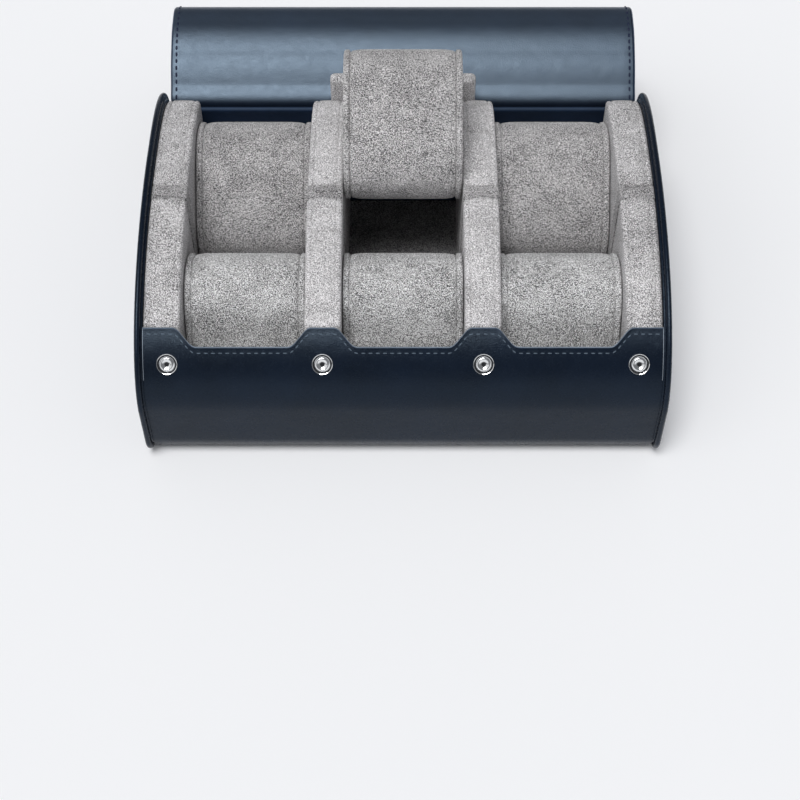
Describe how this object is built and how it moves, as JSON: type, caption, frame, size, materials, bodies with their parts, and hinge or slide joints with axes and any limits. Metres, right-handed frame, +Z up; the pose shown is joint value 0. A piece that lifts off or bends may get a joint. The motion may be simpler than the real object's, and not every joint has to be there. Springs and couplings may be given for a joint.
{
  "type": "watch travel case",
  "caption": "Soft leather travel case for watches with a snap-down flap lid, suede dividers and lift-out watch pillows.",
  "frame": {"origin": "middle of the underside, on the surface that the case stands on", "axes": "+X to the right across the slots, +Y from the front wall to the back wall, +Z up"},
  "size_m": [0.276, 0.3631, 0.1432],
  "materials": {
    "navy_leather": "smooth calf leather, soft sheen",
    "navy_leather_lining": "smooth leather, duller than the outside",
    "grey_suede": "short-nap microsuede",
    "grey_pillow_suede": "short-nap microsuede over foam",
    "chrome": "polished",
    "stiff_board": "plain grey board"
  },
  "bodies": {
    "case": {"leather_wrap": "navy_leather", "base_board": "stiff_board", "front_board": "stiff_board", "back_board": "stiff_board", "floor_lining": "grey_suede", "back_lining": "navy_leather_lining", "left_end_leather": "navy_leather", "left_end_board": "stiff_board", "left_end_lining": "navy_leather_lining", "right_end_leather": "navy_leather", "right_end_board": "stiff_board", "right_end_lining": "navy_leather_lining", "left_end_pad_front": "grey_suede", "left_end_pad_rear": "grey_suede", "left_divider_front": "grey_suede", "left_divider_rear": "grey_suede", "right_divider_front": "grey_suede", "right_divider_rear": "grey_suede", "right_end_pad_front": "grey_suede", "right_end_pad_rear": "grey_suede", "cross_partition": "grey_suede", "snap_studs": "chrome", "snap_washers": "chrome"},
    "front_left_pillow_set": {"front_left_pillow": "grey_pillow_suede", "front_left_backrest": "grey_pillow_suede"},
    "front_middle_pillow_set": {"front_middle_pillow": "grey_pillow_suede", "front_middle_backrest": "grey_pillow_suede"},
    "front_right_pillow_set": {"front_right_pillow": "grey_pillow_suede", "front_right_backrest": "grey_pillow_suede"},
    "back_left_pillow_set": {"back_left_pillow": "grey_pillow_suede", "back_left_backrest": "grey_pillow_suede"},
    "back_middle_pillow_set": {"back_middle_pillow": "grey_pillow_suede", "back_middle_backrest": "grey_pillow_suede"},
    "back_right_pillow_set": {"back_right_pillow": "grey_pillow_suede", "back_right_backrest": "grey_pillow_suede"},
    "lid_1": {"lid_leather_1": "navy_leather", "lid_lining_1": "navy_leather_lining"},
    "lid_2": {"lid_leather_2": "navy_leather", "lid_lining_2": "navy_leather_lining"},
    "lid_3": {"lid_leather_3": "navy_leather", "lid_lining_3": "navy_leather_lining"},
    "lid_4": {"lid_leather_4": "navy_leather", "lid_lining_4": "navy_leather_lining"},
    "lid_5": {"lid_leather_5": "navy_leather", "lid_lining_5": "grey_suede"},
    "lid_6": {"lid_leather_6": "navy_leather", "lid_lining_6": "grey_suede"},
    "lid_7": {"lid_leather_7": "navy_leather", "lid_lining_7": "grey_suede"},
    "lid_8": {"lid_leather_8": "navy_leather", "lid_lining_8": "grey_suede", "snap_caps": "chrome", "snap_sockets": "chrome"}
  },
  "joints": [
    {"name": "front_left_lift", "type": "slide", "parent": "case", "child": "front_left_pillow_set", "axis": [0, 0, 1], "range_m": [0, 0.052]},
    {"name": "front_middle_lift", "type": "slide", "parent": "case", "child": "front_middle_pillow_set", "axis": [0, 0, 1], "range_m": [0, 0.052]},
    {"name": "front_right_lift", "type": "slide", "parent": "case", "child": "front_right_pillow_set", "axis": [0, 0, 1], "range_m": [0, 0.052]},
    {"name": "back_left_lift", "type": "slide", "parent": "case", "child": "back_left_pillow_set", "axis": [0, 0, 1], "range_m": [0, 0.052]},
    {"name": "back_middle_lift", "type": "slide", "parent": "case", "child": "back_middle_pillow_set", "axis": [0, 0, 1], "range_m": [-0.0521, 0]},
    {"name": "back_right_lift", "type": "slide", "parent": "case", "child": "back_right_pillow_set", "axis": [0, 0, 1], "range_m": [0, 0.052]},
    {"name": "lid_hinge", "type": "hinge", "parent": "case", "child": "lid_1", "pos_m": [0, 0.0983, 0.07852], "axis": [-1, 0, 0], "range_deg": [-85.29, 0]},
    {"name": "lid_flex_2", "type": "hinge", "parent": "lid_1", "child": "lid_2", "pos_m": [0, 0.11342, 0.09033], "axis": [-1, 0, 0], "range_deg": [-46.17, 0]},
    {"name": "lid_flex_3", "type": "hinge", "parent": "lid_2", "child": "lid_3", "pos_m": [0, 0.13125, 0.09981], "axis": [-1, 0, 0], "range_deg": [-34.11, 0]},
    {"name": "lid_flex_4", "type": "hinge", "parent": "lid_3", "child": "lid_4", "pos_m": [0, 0.14858, 0.10225], "axis": [-1, 0, 0], "range_deg": [-42.46, 0]},
    {"name": "lid_flex_5", "type": "hinge", "parent": "lid_4", "child": "lid_5", "pos_m": [0, 0.15543, 0.09829], "axis": [-1, 0, 0], "range_deg": [-33.01, 0]},
    {"name": "lid_flex_6", "type": "hinge", "parent": "lid_5", "child": "lid_6", "pos_m": [0, 0.18684, 0.04975], "axis": [-1, 0, 0], "range_deg": [-12.62, 0]},
    {"name": "lid_flex_7", "type": "hinge", "parent": "lid_6", "child": "lid_7", "pos_m": [0, 0.21048, 0.01828], "axis": [-1, 0, 0], "range_deg": [0, 18.47]},
    {"name": "lid_flex_8", "type": "hinge", "parent": "lid_7", "child": "lid_8", "pos_m": [0, 0.22574, 0.00999], "axis": [-1, 0, 0], "range_deg": [0, 10.58]}
  ],
  "couplings": [
    {"joint": "lid_flex_2", "follows": "lid_hinge", "ratio": 0.54115},
    {"joint": "lid_flex_3", "follows": "lid_hinge", "ratio": 0.39966},
    {"joint": "lid_flex_4", "follows": "lid_hinge", "ratio": 0.49758},
    {"joint": "lid_flex_5", "follows": "lid_hinge", "ratio": 0.38677},
    {"joint": "lid_flex_6", "follows": "lid_hinge", "ratio": 0.14776},
    {"joint": "lid_flex_7", "follows": "lid_hinge", "ratio": -0.21637},
    {"joint": "lid_flex_8", "follows": "lid_hinge", "ratio": -0.12386},
    {"joint": "back_middle_lift", "follows": "lid_hinge", "m_per_rad": 0.034932}
  ]
}
